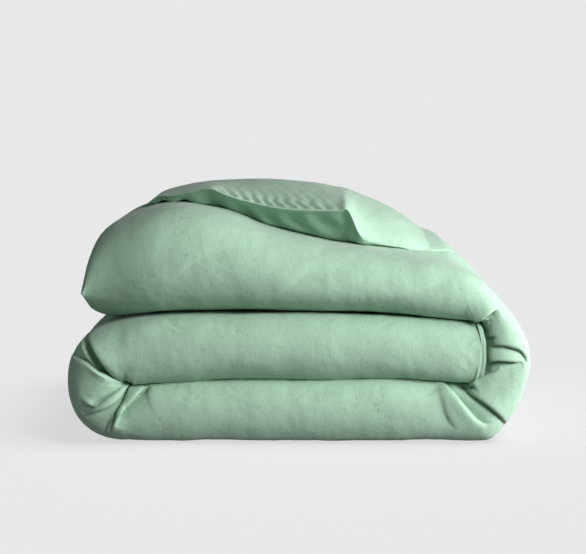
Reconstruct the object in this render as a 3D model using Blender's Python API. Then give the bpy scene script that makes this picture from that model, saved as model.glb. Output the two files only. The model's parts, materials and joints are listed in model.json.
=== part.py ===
"""A folded duvet: a quilt inside a buttoned cover, folded lengthwise and then across in thirds.

The long folded strip runs from the buttoned mouth, which is the free end of the middle third,
round the left fold, along the bottom third, up the right fold and back along the top third to
its head seam. The last ply, the flap, lies on the top third and is joined to it at the back.

Each stretch of the strip is nested: the cover, the quilt's ticking, and the fill, which sewn
walls keep in chambers. The strip is cut where it creases when it is unfolded.

Metres, +Z up, +X to the right fold, -Y to the front, where the flap's side seam faces. The
origin is the middle of the footprint.
"""

import math

import bmesh
import bpy
from mathutils import Vector
from mathutils.geometry import interpolate_bezier

# The stack, and the thickness of its lower two layers.
STACK_WIDTH = 0.763
STACK_DEPTH = 0.580
BOTTOM_THICK = 0.100
MIDDLE_THICK = 0.104
LAYER_GAP = 0.0006

# Cloth, drawn thicker than it is so that each layer is a solid, and the ease between layers.
COVER_WALL = 0.0020
TICKING_WALL = 0.0014
CHAMBER_WALL = 0.0012
EASE = 0.0004

# The right fold wraps round the tucked mouth. Its lower crease lies on the floor, and its outer
# side runs from just above that crease, over the widest point, to the upper crease.
FOLD_THICK = 0.071
MOUTH_TO_FOLD = 0.0025
LOWER_CREASE_INSET = 0.0425
LOWER_SKIN_INSET = 0.048
LOWER_SKIN_RISE = 0.0105
FLAT_BOTTOM_INSET = 0.076
WIDEST_RISE = 0.034
LOWER_BULGE = 0.045
LOWER_SLOPE = 0.016
UPPER_BULGE = 0.050
UPPER_SLOPE = 0.036
UPPER_CREASE_INSET = 0.0815
UPPER_CREASE_THICK = 0.073
UPPER_CREASE_LEAN = 0.028

# The top third: its depth is less than the stack's, and it stops short of the left fold.
TOP_NARROWER = 0.020
HEAD_INSET = 0.0325
HEAD_THICK = 0.086
HEAD_RISE = 0.018
HEAD_NARROWER = 0.030
# Share of the way from the upper crease to the head, thickness there, and the flap's loft on it.
TOP_PROFILE = [
    (0.046, 0.091, 0.0),
    (0.123, 0.102, 0.018),
    (0.185, 0.106, 0.045),
    (0.277, 0.113, 0.070),
    (0.385, 0.122, 0.083),
    (0.539, 0.143, 0.069),
    (0.693, 0.170, 0.034),
    (0.832, 0.173, 0.016),
    (0.924, 0.158, 0.0),
    (0.971, 0.128, 0.0),
]

# The flap, and the hinge line of the back roll that it opens round.
FLAP_SETBACK = 0.120
FLAP_BACK_INSET = 0.018
FLAP_FRONT_FULLNESS = 0.45
FLAP_BACK_FULLNESS = 0.55
FLAP_FRONT_ROUNDING = 0.060
FLAP_BACK_ROUNDING = 0.110
FLAP_LEAST = 0.013
FLAP_HINGE_BEHIND = 0.015
FLAP_HINGE_RISE = 0.145

# The mouth's hem, its button strips and buttons, the corner ties and the sewn seams.
HEM_WIDTH = 0.008
HEM_WALL = 0.0030
STRIP_WALL = 0.0014
STRIP_OVERLAP = 0.030
BUTTON_RADIUS = 0.0075
BUTTON_THICK = 0.0026
BUTTON_ROUNDING = 0.0005
BUTTON_COUNT = 5
BUTTON_PITCH = 0.095
TIE_LENGTH = 0.012
TIE_WIDTH = 0.030
TIE_THICK = 0.0020
TIE_INSET = 0.060
SEAM_WIDTH = 0.008
SEAM_THICK = 0.0024

# Steps that draw a front or back roll, the left fold, one leg of the right fold, and the flap.
ROLL_STEPS = 8
LEFT_STEPS = 10
LEG_STEPS = 3
FLAP_STEPS = 7
BUTTON_SIDES = 20
SMOOTH_BELOW = math.radians(40)

RIGHT_X = STACK_WIDTH / 2
MOUTH_X = RIGHT_X - FOLD_THICK - MOUTH_TO_FOLD
FOLD_X = MOUTH_X + MOUTH_TO_FOLD
QUILT_END_X = MOUTH_X - HEM_WIDTH - TIE_LENGTH
MIDDLE_Z = BOTTOM_THICK + LAYER_GAP
MIDDLE_TOP_Z = MIDDLE_Z + MIDDLE_THICK
TOP_Z = MIDDLE_TOP_Z + LAYER_GAP
TOP_DEPTH = STACK_DEPTH - TOP_NARROWER
HEAD_X = HEAD_INSET - RIGHT_X
LOWER_CREASE = Vector((RIGHT_X - LOWER_CREASE_INSET, 0, 0))
UPPER_CREASE = Vector((RIGHT_X - UPPER_CREASE_INSET, 0, TOP_Z + UPPER_CREASE_THICK))
UPPER_CORNER = Vector((UPPER_CREASE.x - UPPER_CREASE_LEAN, 0, TOP_Z))
LEFT_CENTRE = Vector(((BOTTOM_THICK + MIDDLE_THICK + LAYER_GAP) / 2 - RIGHT_X, 0,
                      BOTTOM_THICK + LAYER_GAP / 2))
LEFT_X = LEFT_CENTRE.x + EASE
FLAP_FRONT_Y = FLAP_SETBACK - TOP_DEPTH / 2
FLAP_BACK_Y = TOP_DEPTH / 2 - FLAP_BACK_INSET
FLAP_HINGE = Vector((0, TOP_DEPTH / 2 + FLAP_HINGE_BEHIND, TOP_Z + FLAP_HINGE_RISE))
TICKING_INSET = COVER_WALL + EASE
FILL_INSET = TICKING_INSET + TICKING_WALL + EASE


class Section:
    """A slice across the strip: a point of its outer side, one of its inner side, and its depth."""

    def __init__(self, outer, inner, depth=STACK_DEPTH):
        self.outer = Vector(outer)
        self.inner = Vector(inner)
        self.depth = depth

    def ring(self, inset):
        """A flat oval with round front and back, that far inside the strip's surface."""
        across = (self.outer - self.inner).normalized()
        middle = (self.outer + self.inner) / 2
        radius = (self.outer - self.inner).length / 2 - inset
        flat = self.depth / 2 - inset - radius
        points = []
        for side in (-1, 1):
            for step in range(ROLL_STEPS + 1):
                turn = math.pi * step / ROLL_STEPS
                away = Vector((0, side * (flat + radius * math.sin(turn)), 0))
                points.append(middle + away - side * across * radius * math.cos(turn))
        return points


def between(a, b, share):
    return a + (b - a) * share


def blended(a, b, share):
    """The section that share of the way from section a to section b."""
    return Section(between(a.outer, b.outer, share), between(a.inner, b.inner, share),
                   between(a.depth, b.depth, share))


def upright(x, outer_z, inner_z, depth=STACK_DEPTH):
    return Section((x, 0, outer_z), (x, 0, inner_z), depth)


def rings(sections, inset):
    return [section.ring(inset) for section in sections]


def bottom_third(start=LEFT_X, end=None):
    """Up to end, or up to the slanted cut that the right fold opens from."""
    first = upright(start, 0, BOTTOM_THICK)
    if end is not None:
        return [first, upright(end, 0, BOTTOM_THICK)]
    flat_end = RIGHT_X - FLAT_BOTTOM_INSET
    lean = (FOLD_X - flat_end) / 2
    return [first,
            Section((flat_end, 0, 0), (flat_end - lean, 0, BOTTOM_THICK)),
            Section((RIGHT_X - LOWER_SKIN_INSET - EASE, 0, LOWER_SKIN_RISE),
                    (FOLD_X - EASE, 0, BOTTOM_THICK))]


def left_fold():
    """A half turn from the bottom third up to the middle one."""
    sections = []
    for step in range(LEFT_STEPS + 1):
        share = step / LEFT_STEPS
        turn = math.pi * (share + 0.5)
        way = Vector((math.cos(turn), 0, -math.sin(turn)))
        thick = between(BOTTOM_THICK, MIDDLE_THICK, share)
        inner = LEFT_CENTRE + way * LAYER_GAP / 2
        sections.append(Section(inner + way * thick, inner))
    return sections


def middle_third(start, end):
    return [upright(x, MIDDLE_TOP_Z, MIDDLE_Z) for x in (start, end)]


def right_fold():
    """Up from the bottom third, round the tucked mouth, and over to the top third."""
    skin = Vector((RIGHT_X - LOWER_SKIN_INSET, 0, LOWER_SKIN_RISE))
    widest = Vector((RIGHT_X, 0, BOTTOM_THICK + WIDEST_RISE))
    slope = Vector((LOWER_SLOPE, 0, LOWER_SLOPE))
    brow = Vector((UPPER_SLOPE, 0, -UPPER_SLOPE))
    outer = interpolate_bezier(skin, skin + slope, widest - Vector((0, 0, LOWER_BULGE)), widest,
                               LEG_STEPS + 1)
    outer += interpolate_bezier(widest, widest + Vector((0, 0, UPPER_BULGE)),
                                UPPER_CREASE + brow, UPPER_CREASE, 2 * LEG_STEPS + 1)[1:]
    corners = [Vector((FOLD_X, 0, BOTTOM_THICK)), Vector((FOLD_X, 0, widest.z)),
               Vector((FOLD_X, 0, TOP_Z)), UPPER_CORNER]
    inner = [between(a, b, step / LEG_STEPS)
             for a, b in zip(corners, corners[1:]) for step in range(LEG_STEPS)] + [corners[-1]]
    return [Section(o, i, between(STACK_DEPTH, TOP_DEPTH, n / (len(inner) - 1)))
            for n, (o, i) in enumerate(zip(outer, inner))]


def top_x(share):
    return between(UPPER_CREASE.x, HEAD_X, share)


def top_third(end_gap):
    """From the right fold to end_gap short of the head."""
    ease = Vector((EASE, 0, 0))
    sections = [Section(UPPER_CREASE - ease, UPPER_CORNER - ease, TOP_DEPTH)]
    sections += [upright(top_x(share), TOP_Z + thick, TOP_Z, TOP_DEPTH)
                 for share, thick, _ in TOP_PROFILE]
    head_z = TOP_Z + HEAD_RISE
    sections.append(upright(HEAD_X, head_z + HEAD_THICK, head_z, TOP_DEPTH - HEAD_NARROWER))
    end = HEAD_X + end_gap
    kept = [section for section in sections if section.outer.x > end]
    last, beyond = kept[-1], (sections + sections[-1:])[len(kept)]
    return kept + [blended(last, beyond, (last.outer.x - end) / (last.outer.x - beyond.outer.x))]


def cut_at(sections, x):
    """The sections to either side of an upright cut at x, each with one of its own at the cut."""
    kept = [section for section in sections if section.outer.x > x]
    last, beyond = kept[-1], sections[len(kept)]
    at_cut = blended(last, beyond, (last.outer.x - x) / (last.outer.x - beyond.outer.x))
    return kept + [at_cut], [at_cut] + sections[len(kept):]


def flap_stations():
    """x, height of the top third and loft of the flap, for each place that the flap covers."""
    return [(top_x(share), TOP_Z + thick + LAYER_GAP, loft)
            for share, thick, loft in TOP_PROFILE if loft]


def flap_fullness(y):
    """Share of the flap's full loft at that depth: less at its front edge and at the back roll."""
    front = min(1, (y - FLAP_FRONT_Y) / FLAP_FRONT_ROUNDING)
    back = min(1, (FLAP_BACK_Y - y) / FLAP_BACK_ROUNDING)
    return min(between(FLAP_FRONT_FULLNESS, 1, math.sin(front * math.pi / 2)),
               between(FLAP_BACK_FULLNESS, 1, math.sin(back * math.pi / 2)))


def flap_ring(y, fullness, inset):
    """Across the flap at that depth: it lies on the top third's outline and is crowned above."""
    stations = flap_stations()
    left, right = stations[-1][0] + inset, stations[0][0] - inset
    under, over = [], []
    for x, floor, loft in stations:
        x = min(right, max(left, x))
        under.append(Vector((x, y, floor + inset)))
        over.append(Vector((x, y, floor + max(FLAP_LEAST, loft * fullness) - inset)))
    return under + over[::-1]


def flap_rings(inset, front_gap):
    """From the open back of the flap to front_gap short of its front edge."""
    steps = [between(FLAP_BACK_Y, FLAP_FRONT_Y, step / FLAP_STEPS)
             for step in range(FLAP_STEPS + 1)]
    places = [(y, flap_fullness(y)) for y in steps]
    (y, fullness), (front_y, front_fullness) = places[-2:]
    share = 1 - front_gap / (y - front_y)
    places[-1] = (between(y, front_y, share), between(fullness, front_fullness, share))
    return [flap_ring(y, fullness, inset) for y, fullness in places]


def skin(form, loops):
    """Triangles through loops of points, split the same way on every layer of cloth."""
    loops = [[form.verts.new(point) for point in loop] for loop in loops]
    for near, far in zip(loops, loops[1:]):
        for i in range(len(near)):
            j = (i + 1) % len(near)
            form.faces.new((near[i], near[j], far[j]))
            form.faces.new((near[i], far[j], far[i]))
    return loops


def rim(form, one, other):
    """Joins two loops of vertices that lie in one plane."""
    for i in range(len(one)):
        j = (i + 1) % len(one)
        form.faces.new((one[i], one[j], other[j], other[i]))


def solid(name, loops, parent, material):
    """A closed solid through loops of points."""
    form = bmesh.new()
    loops = skin(form, loops)
    form.faces.new(loops[0])
    form.faces.new(loops[-1])
    return place(name, form, parent, material)


def sleeve(name, outer, inner, parent, material):
    """A cloth wall between two tubes that are open at both ends."""
    form = bmesh.new()
    outer, inner = skin(form, outer), skin(form, inner)
    rim(form, outer[0], inner[0])
    rim(form, outer[-1], inner[-1])
    return place(name, form, parent, material)


def pocket(name, outer, inner, parent, material):
    """A cloth wall between two tubes that are shut at their last loop."""
    form = bmesh.new()
    outer, inner = skin(form, outer), skin(form, inner)
    rim(form, outer[0], inner[0])
    form.faces.new(outer[-1])
    form.faces.new(inner[-1])
    return place(name, form, parent, material)


def place(name, form, parent, material):
    """The form as an object under its body's empty, smooth, with its material on."""
    form.normal_update()
    bmesh.ops.recalc_face_normals(form, faces=form.faces)
    mesh = bpy.data.meshes.new(name)
    form.to_mesh(mesh)
    form.free()
    mesh.materials.append(material)
    mesh.shade_smooth()
    mesh.set_sharp_from_angle(angle=SMOOTH_BELOW)
    piece = bpy.data.objects.new(name, mesh)
    COLLECTION.objects.link(piece)
    piece.parent = parent
    piece.location = -parent.location
    return piece


def cover(name, sections, parent):
    outer, inner = rings(sections, 0), rings(sections, COVER_WALL)
    sleeve(f"cover_{name}", outer, inner, parent, LINEN)


def ticking(name, sections, parent):
    outer = rings(sections, TICKING_INSET)
    inner = rings(sections, TICKING_INSET + TICKING_WALL)
    sleeve(f"ticking_{name}", outer, inner, parent, COTTON)


def fill(name, sections, parent):
    solid(f"fill_{name}", rings(sections, FILL_INSET), parent, DOWN)


def chamber_wall(name, sections, parent):
    solid(f"chamber_wall_{name}", rings(sections, FILL_INSET), parent, COTTON)


def bottom_pieces(parent):
    cover("bottom_third", bottom_third(), parent)
    ticking("bottom_third", bottom_third(), parent)
    chamber_wall("low_left", bottom_third(end=LEFT_X + CHAMBER_WALL), parent)
    start = LEFT_X + CHAMBER_WALL + EASE
    fill("bottom_left", bottom_third(start, -CHAMBER_WALL / 2 - EASE), parent)
    chamber_wall("bottom", bottom_third(-CHAMBER_WALL / 2, CHAMBER_WALL / 2), parent)
    fill("bottom_right", bottom_third(CHAMBER_WALL / 2 + EASE), parent)


def left_fold_pieces(parent):
    cover("left_fold", left_fold(), parent)
    ticking("left_fold", left_fold(), parent)
    fill("left_fold", left_fold(), parent)


def middle_pieces(parent):
    cover("middle_third", middle_third(LEFT_X, MOUTH_X - HEM_WIDTH - EASE), parent)
    outer = rings(middle_third(LEFT_X, QUILT_END_X), TICKING_INSET)
    inner = rings(middle_third(LEFT_X, QUILT_END_X - TICKING_WALL), TICKING_INSET + TICKING_WALL)
    pocket("ticking_middle_third", outer, inner, parent, COTTON)
    chamber_wall("high_left", middle_third(LEFT_X, LEFT_X + CHAMBER_WALL), parent)
    start = LEFT_X + CHAMBER_WALL + EASE
    fill("middle_left", middle_third(start, -CHAMBER_WALL / 2 - EASE), parent)
    chamber_wall("middle", middle_third(-CHAMBER_WALL / 2, CHAMBER_WALL / 2), parent)
    end = QUILT_END_X - TICKING_WALL - EASE
    fill("middle_right", middle_third(CHAMBER_WALL / 2 + EASE, end), parent)


def mouth_pieces(parent):
    """The hem round the mouth, and behind it the strips that overlap and button together."""
    hem = middle_third(MOUTH_X - HEM_WIDTH, MOUTH_X)
    sleeve("mouth_hem", rings(hem, 0), rings(hem, HEM_WALL), parent, LINEN)
    waist = (MIDDLE_Z + MIDDLE_TOP_Z) / 2
    outer_x = MOUTH_X - HEM_WIDTH - EASE - STRIP_WALL
    button_x = outer_x - EASE - BUTTON_THICK
    inner_x = button_x - EASE - STRIP_WALL
    strip("buttonhole_strip", outer_x, waist - STRIP_OVERLAP / 2, MIDDLE_TOP_Z, parent)
    strip("button_strip", inner_x, MIDDLE_Z, waist + STRIP_OVERLAP / 2, parent)
    for index in range(BUTTON_COUNT):
        y = (index - (BUTTON_COUNT - 1) / 2) * BUTTON_PITCH
        button(f"button_{index + 1}", Vector((button_x + BUTTON_THICK / 2, y, waist)), parent)
    for side, name in ((-1, "front"), (1, "back")):
        place_y = side * (STACK_DEPTH / 2 - TIE_INSET)
        tie(f"tie_mouth_{name}", QUILT_END_X + EASE, inner_x - EASE, place_y,
            MIDDLE_Z + MIDDLE_THICK / 4, parent)


def strip(name, x, low, high, parent):
    """A slice of the cover's section between two heights, a strip's wall thick."""
    form = bmesh.new()
    section = upright(x, MIDDLE_TOP_Z, MIDDLE_Z)
    form.faces.new([form.verts.new(point) for point in section.ring(TICKING_INSET)])
    for height, way in ((low, -1), (high, 1)):
        bmesh.ops.bisect_plane(form, geom=form.verts[:] + form.edges[:] + form.faces[:],
                               plane_co=(x, 0, height), plane_no=(0, 0, way), clear_outer=True)
    pushed = bmesh.ops.extrude_face_region(form, geom=form.faces[:])["geom"]
    bmesh.ops.translate(form, vec=(STRIP_WALL, 0, 0),
                        verts=[part for part in pushed if isinstance(part, bmesh.types.BMVert)])
    return place(name, form, parent, LINEN)


def button(name, centre, parent):
    """A flat round button with softened rims, its axis along the strip."""
    form = bmesh.new()
    bmesh.ops.create_cone(form, cap_ends=True, segments=BUTTON_SIDES, radius1=BUTTON_RADIUS,
                          radius2=BUTTON_RADIUS, depth=BUTTON_THICK)
    rims = [edge for edge in form.edges if abs(edge.verts[0].co.z - edge.verts[1].co.z) < EASE]
    bmesh.ops.bevel(form, geom=rims, offset=BUTTON_ROUNDING, segments=2, profile=0.5,
                    affect="EDGES", material=-1)
    for vertex in form.verts:
        x, y, z = vertex.co
        vertex.co = centre + Vector((z, x, y))
    return place(name, form, parent, SHELL)


def tie(name, start, end, y, z, parent):
    """A short tape that holds a corner of the quilt to the same corner of the cover."""
    form = bmesh.new()
    bmesh.ops.create_cube(form, size=1)
    bmesh.ops.scale(form, vec=(end - start, TIE_WIDTH, TIE_THICK), verts=form.verts)
    bmesh.ops.translate(form, vec=((start + end) / 2, y, z), verts=form.verts)
    return place(name, form, parent, TAPE)


def right_fold_pieces(parent):
    cover("right_fold", right_fold(), parent)
    ticking("right_fold", right_fold(), parent)
    fill("right_fold", right_fold(), parent)


def top_pieces(parent):
    pocket("cover_top_third", rings(top_third(0), 0), rings(top_third(COVER_WALL), COVER_WALL),
           parent, LINEN)
    quilt_inner = rings(top_third(TIE_LENGTH + TICKING_WALL), TICKING_INSET + TICKING_WALL)
    pocket("ticking_top_third", rings(top_third(TIE_LENGTH), TICKING_INSET), quilt_inner,
           parent, COTTON)
    chamber = top_third(TIE_LENGTH + TICKING_WALL + EASE)
    wall_x = (UPPER_CREASE.x + HEAD_X) / 2
    near, _ = cut_at(chamber, wall_x + CHAMBER_WALL + EASE)
    _, from_wall = cut_at(chamber, wall_x + CHAMBER_WALL)
    wall, _ = cut_at(from_wall, wall_x)
    _, far = cut_at(chamber, wall_x - EASE)
    fill("top_right", near, parent)
    chamber_wall("top", wall, parent)
    fill("top_left", far, parent)
    tie("tie_head", HEAD_X + COVER_WALL + EASE, HEAD_X + TIE_LENGTH - EASE,
        TIE_INSET - TOP_DEPTH / 2 + HEAD_NARROWER, TOP_Z + HEAD_RISE + HEAD_THICK / 2, parent)
    head_seam(parent)


def head_seam(parent):
    """The seam's turned edge, a narrow band round the shut end of the top third."""
    near, end = top_third(SEAM_WIDTH)[-1], top_third(0)[-1]
    band = [near, end]
    sleeve("head_seam", rings(band, -EASE - SEAM_THICK), rings(band, -EASE), parent, LINEN)


def flap_pieces(parent):
    pocket("cover_flap", flap_rings(0, 0), flap_rings(COVER_WALL, COVER_WALL), parent, LINEN)
    wall_gap = TICKING_INSET + TICKING_WALL
    pocket("ticking_flap", flap_rings(TICKING_INSET, TICKING_INSET),
           flap_rings(wall_gap, wall_gap), parent, COTTON)
    solid("fill_flap", flap_rings(FILL_INSET, FILL_INSET), parent, DOWN)
    side_seam(parent)


def side_seam(parent):
    """The cover's side seam, a thin lip along the flap's front edge."""
    back, front = FLAP_FRONT_Y - EASE, FLAP_FRONT_Y - EASE - SEAM_WIDTH
    loops = []
    for x, floor, loft in flap_stations():
        z = floor + max(FLAP_LEAST, loft * FLAP_FRONT_FULLNESS) / 2
        low, high = z - SEAM_THICK / 2, z + SEAM_THICK / 2
        loops.append([Vector((x, back, low)), Vector((x, front, low)),
                      Vector((x, front, high)), Vector((x, back, high))])
    solid("side_seam", loops, parent, LINEN)


def principled(name, colour, roughness, sheen):
    material = bpy.data.materials.new(name)
    material.use_nodes = True
    shader = material.node_tree.nodes["Principled BSDF"]
    shader.inputs["Base Color"].default_value = (*colour, 1)
    shader.inputs["Roughness"].default_value = roughness
    shader.inputs["Metallic"].default_value = 0
    shader.inputs["Sheen Weight"].default_value = sheen
    return material


def body(name, place_of_axis):
    """An empty on the body's hinge line, which carries the pieces that move together."""
    empty = bpy.data.objects.new(name, None)
    empty.location = place_of_axis
    COLLECTION.objects.link(empty)
    return empty


for leftover in list(bpy.data.objects):
    bpy.data.objects.remove(leftover)
COLLECTION = bpy.data.collections.new("folded_duvet")
bpy.context.scene.collection.children.link(COLLECTION)
LINEN = principled("washed_linen_green", (0.31, 0.50, 0.37), 0.9, 0.3)
COTTON = principled("cotton_ticking", (0.86, 0.85, 0.82), 0.85, 0.1)
DOWN = principled("down_fill", (0.90, 0.89, 0.86), 1.0, 0.0)
SHELL = principled("shell_button", (0.80, 0.84, 0.78), 0.35, 0.0)
TAPE = principled("cotton_tape", (0.42, 0.62, 0.47), 0.9, 0.1)

stack = body("stack", (0, 0, 0))
bottom_pieces(stack)
left_fold_pieces(stack)
middle_pieces(stack)
mouth_pieces(stack)
right_fold_pieces(body("right_fold_crease", LOWER_CREASE))
top_pieces(body("top_third_crease", UPPER_CREASE))
flap_pieces(body("flap_crease", FLAP_HINGE))
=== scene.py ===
"""A folded duvet in washed green linen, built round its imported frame.

Four padded pieces follow the folded strip. The middle runs from the buttoned mouth round the left
fold; the lower one carries on along the bottom and up the right fold; the upper one goes over the
top third to its head seam; and the flap lies on top of it, its side seam facing the front. Each
starts as a flat grid of cloth, one side along the strip and the other round it. It is wrapped into
place, swelled by a cloth simulation where it isn't held, and creased where the folds gather it.
The flap isn't swelled: its drape, its seam and the puckers along that are shaped here. The mouth
also gets its two strips with their buttonholes, and the hem and the side seam get their stitches.
"""

import json
import math

import bmesh
import bpy
import numpy as np
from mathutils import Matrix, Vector, noise
from mathutils.geometry import interpolate_bezier


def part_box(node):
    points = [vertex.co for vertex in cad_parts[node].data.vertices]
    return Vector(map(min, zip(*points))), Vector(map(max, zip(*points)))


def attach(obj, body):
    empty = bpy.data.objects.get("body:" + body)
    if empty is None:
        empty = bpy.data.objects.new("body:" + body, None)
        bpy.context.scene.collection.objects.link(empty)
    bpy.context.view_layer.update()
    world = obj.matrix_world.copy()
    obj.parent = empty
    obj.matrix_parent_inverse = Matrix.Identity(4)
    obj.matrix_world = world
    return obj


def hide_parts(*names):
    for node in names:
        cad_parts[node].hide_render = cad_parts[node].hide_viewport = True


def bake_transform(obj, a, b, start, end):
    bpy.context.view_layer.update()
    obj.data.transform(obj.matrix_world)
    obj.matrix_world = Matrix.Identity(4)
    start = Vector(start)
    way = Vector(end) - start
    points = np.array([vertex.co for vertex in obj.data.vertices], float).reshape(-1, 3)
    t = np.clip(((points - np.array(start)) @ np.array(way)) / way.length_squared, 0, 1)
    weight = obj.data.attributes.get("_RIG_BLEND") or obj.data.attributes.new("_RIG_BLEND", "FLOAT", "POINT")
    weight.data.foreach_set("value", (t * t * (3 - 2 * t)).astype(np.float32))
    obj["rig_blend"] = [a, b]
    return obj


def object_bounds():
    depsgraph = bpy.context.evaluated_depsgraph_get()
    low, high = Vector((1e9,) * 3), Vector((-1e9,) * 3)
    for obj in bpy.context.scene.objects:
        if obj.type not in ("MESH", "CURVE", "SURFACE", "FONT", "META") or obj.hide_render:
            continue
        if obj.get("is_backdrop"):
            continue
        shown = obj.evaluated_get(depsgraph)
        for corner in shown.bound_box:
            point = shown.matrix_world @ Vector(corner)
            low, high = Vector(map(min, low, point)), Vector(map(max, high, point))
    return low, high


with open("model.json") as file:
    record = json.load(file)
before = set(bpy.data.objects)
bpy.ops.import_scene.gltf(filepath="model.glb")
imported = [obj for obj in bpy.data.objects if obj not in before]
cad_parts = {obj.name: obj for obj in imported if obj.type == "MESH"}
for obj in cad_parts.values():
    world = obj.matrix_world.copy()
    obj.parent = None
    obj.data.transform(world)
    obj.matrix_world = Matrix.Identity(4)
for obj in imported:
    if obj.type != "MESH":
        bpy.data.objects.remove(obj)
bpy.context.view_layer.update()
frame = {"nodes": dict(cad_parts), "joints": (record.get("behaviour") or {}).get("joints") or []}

# Places taken from the frame, in metres.
LOW, HIGH = (Vector(corner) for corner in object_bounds())
BOTTOM_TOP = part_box("cover_bottom_third")[1].z
MIDDLE_LOW, MIDDLE_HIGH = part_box("cover_middle_third")
TOP_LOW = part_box("cover_top_third")[0]
FOLD_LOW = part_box("cover_right_fold")[0]
HEM_LOW, HEM_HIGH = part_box("mouth_hem")
MOUTH_X, HEM_WIDTH = HEM_HIGH.x, HEM_HIGH.x - HEM_LOW.x
LEFT_AXIS_X = MIDDLE_LOW.x
HINGES = {joint["name"]: Vector(joint["pos_m"]) for joint in frame["joints"]}
FRONT, BACK = LOW.y, HIGH.y

# The widest point of the right fold, where the lower and the upper piece meet, and the gap
# between the tucked end and the fold that wraps it.
WIDEST = Vector((HIGH.x, 0, BOTTOM_TOP + 0.034))
FOLD_GAP = 0.0015

# Cloth rows along the strip lie this far apart, before the subdivision.
ROW = 0.0056

# How full the layers are: the middle's bowed end, and the top third next to the right fold.
MOUTH_BOW, HUMP_HEIGHT = 0.009, 0.028


def colour(hex_code):
    """Linear RGBA of an sRGB hex code."""
    values = [int(hex_code[i:i + 2], 16) / 255 for i in (1, 3, 5)]
    return [v / 12.92 if v <= 0.04045 else ((v + 0.055) / 1.055) ** 2.4 for v in values] + [1.0]


def through(knots, at):
    """Smooth values through knots, whose first column is where they lie."""
    table = np.array(knots, float)
    where, values = table[:, 0], table[:, 1:]
    slopes = np.gradient(values, where, axis=0)
    at = np.clip(np.asarray(at, float), where[0], where[-1])
    i = np.clip(np.searchsorted(where, at) - 1, 0, len(where) - 2)
    width = (where[i + 1] - where[i])[:, None]
    t = (at - where[i])[:, None] / width
    return ((1 + 2 * t) * (1 - t) ** 2 * values[i] + t * (1 - t) ** 2 * width * slopes[i]
            + t * t * (3 - 2 * t) * values[i + 1] + t * t * (t - 1) * width * slopes[i + 1])


def ramp(values, low, high):
    """0 below low, 1 above high, and smooth between; low may be the larger."""
    t = np.clip((np.asarray(values, float) - low) / (high - low), 0, 1)
    return t * t * (3 - 2 * t)


# ---------------------------------------------------------------- the strip's path

def evenly(path, spacing):
    """Rows of a path of (outer x, z, inner x, z), spaced evenly along its longer side."""
    path = np.array(path, float)
    steps = np.maximum(np.linalg.norm(np.diff(path[:, :2], axis=0), axis=1),
                       np.linalg.norm(np.diff(path[:, 2:4], axis=0), axis=1))
    run = np.concatenate([[0], np.cumsum(steps)])
    at = np.linspace(0, run[-1], round(run[-1] / spacing) + 1)
    return np.stack([np.interp(at, run, column) for column in path.T], axis=1)


# The hem's profile, from inside the mouth, round its rolled edge, to past the stitched groove:
# how far behind the mouth's edge each row lies, and how far inside the middle third's faces.
HEM_PROFILE = [
    (HEM_WIDTH + 0.0015, 0.0042), (HEM_WIDTH, 0.0036), (0.0016, 0.0030), (0.0003, 0.0018),
    (0.0, 0.0008), (0.0009, 0.0), (0.0040, -0.0004), (HEM_WIDTH - 0.0013, 0.0),
    (HEM_WIDTH, 0.0012), (HEM_WIDTH + 0.0014, -0.0003)]
GROOVE_ROW = 8


def mouth_rows():
    """The shut mouth, recessed a hem's width, its rolled edge and the stitched groove behind."""
    rows = []
    for back, inset in HEM_PROFILE:
        x = MOUTH_X - back
        rows.append((x, MIDDLE_HIGH.z - inset, x, MIDDLE_LOW.z + inset))
    return rows


def lower_path():
    """From the hem along the middle, round the left fold, along the bottom and up the fold."""
    start = MOUTH_X - HEM_WIDTH - 0.0045
    rows = [(x, MIDDLE_HIGH.z, x, MIDDLE_LOW.z) for x in np.linspace(start, LEFT_AXIS_X, 12)]
    axis = Vector((LEFT_AXIS_X, (BOTTOM_TOP + MIDDLE_LOW.z) / 2))
    for turn in np.linspace(0, np.pi, 25)[1:-1]:
        reach = (LEFT_AXIS_X - LOW.x) * (1 + 0.045 * math.sin(turn * 2) ** 2)
        rows.append((axis.x - reach * math.sin(turn), axis.y + reach * math.cos(turn),
                     axis.x - 0.0003 * math.sin(turn), axis.y + 0.0003 * math.cos(turn)))
    rows += [(x, 0, x, BOTTOM_TOP) for x in np.linspace(LEFT_AXIS_X, FOLD_LOW.x + 0.02, 12)]
    skin_start = Vector((HINGES["fold_open"].x - 0.030, 0, 0))
    outer = interpolate_bezier(skin_start, skin_start + Vector((0.030, 0, 0)),
                               WIDEST - Vector((0, 0, 0.050)), WIDEST, 14)
    for point, share in zip(outer, np.linspace(0, 1, 14)):
        rows.append((point.x, point.z, MOUTH_X + FOLD_GAP - 0.02 * (1 - share) ** 2,
                     BOTTOM_TOP + (WIDEST.z - BOTTOM_TOP) * share))
    return rows


# The top third's outline from the right fold to its head: x, its height, and its underside.
TOP_OUTLINE = [
    (0.270, 0.281, 0.2057), (0.225, 0.292, 0.2057), (0.180, 0.301, 0.2057),
    (0.120, 0.313, 0.2057), (0.050, 0.322, 0.2057), (-0.050, 0.345, 0.2057),
    (-0.120, 0.371, 0.2057), (-0.190, 0.384, 0.2057), (-0.240, 0.381, 0.2057),
    (-0.285, 0.367, 0.2050), (-0.312, 0.354, 0.2040), (-0.333, 0.335, 0.2060),
    (-0.346, 0.310, 0.2120), (-0.3515, 0.283, 0.2220), (-0.3540, 0.265, 0.2320),
    (-0.3550, 0.252, 0.2415)]


def top_curve():
    """The top third's outline as one smooth curve: x, its height, and its underside."""
    crease = HINGES["top_open"]
    knots = [(crease.x, crease.z - 0.010, TOP_LOW.z + 0.0005)] + TOP_OUTLINE
    return through(np.column_stack([np.arange(len(knots)), knots]),
                   np.linspace(0, len(knots) - 1, 10 * len(knots)))


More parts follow.
